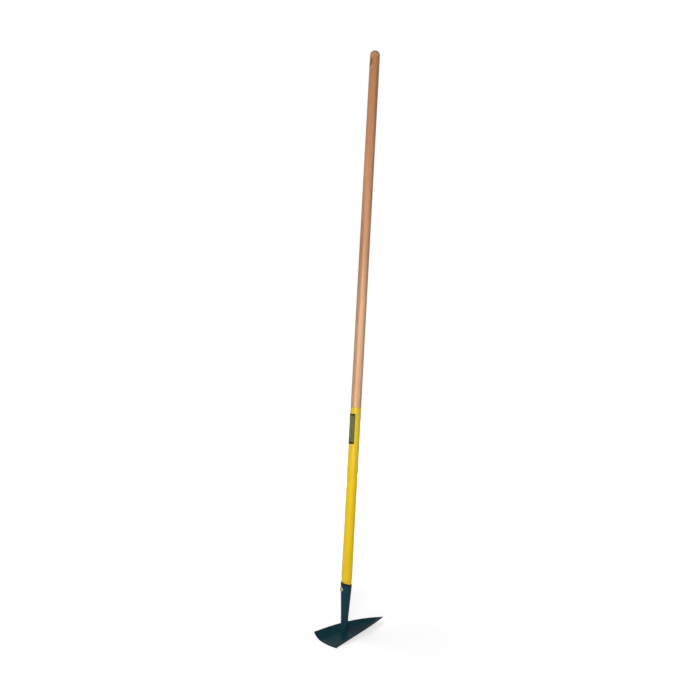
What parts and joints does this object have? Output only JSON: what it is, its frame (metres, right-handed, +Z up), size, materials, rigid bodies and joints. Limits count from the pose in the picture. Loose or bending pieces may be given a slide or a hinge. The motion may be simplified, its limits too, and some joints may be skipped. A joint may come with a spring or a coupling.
{
  "type": "scuffle hoe",
  "caption": "Long-handled scuffle hoe: a pointed, arched blade welded under a socket on a straight wooden handle with a yellow sleeve.",
  "frame": {"origin": "middle of the neck's end, flush with the sole of the blade, on the handle's axis", "axes": "+Z up the handle to its domed top, +Y towards the blade's point, X across the blade; the plane X = 0 halves the head"},
  "size_m": [0.0966, 0.2074, 1.5642],
  "materials": {
    "handle_wood": "clear varnish, satin",
    "sleeve_yellow": "smooth, glossy",
    "label_green": "printed film, satin",
    "head_paint": "enamel, glossy",
    "blade_paint": "enamel, glossy",
    "screw_steel": "zinc plated"
  },
  "bodies": {
    "root": {"handle": "handle_wood", "sleeve": "sleeve_yellow", "label": "label_green", "socket": "head_paint", "blade": "blade_paint", "weld": "head_paint", "screw": "screw_steel"}
  },
  "joints": []
}
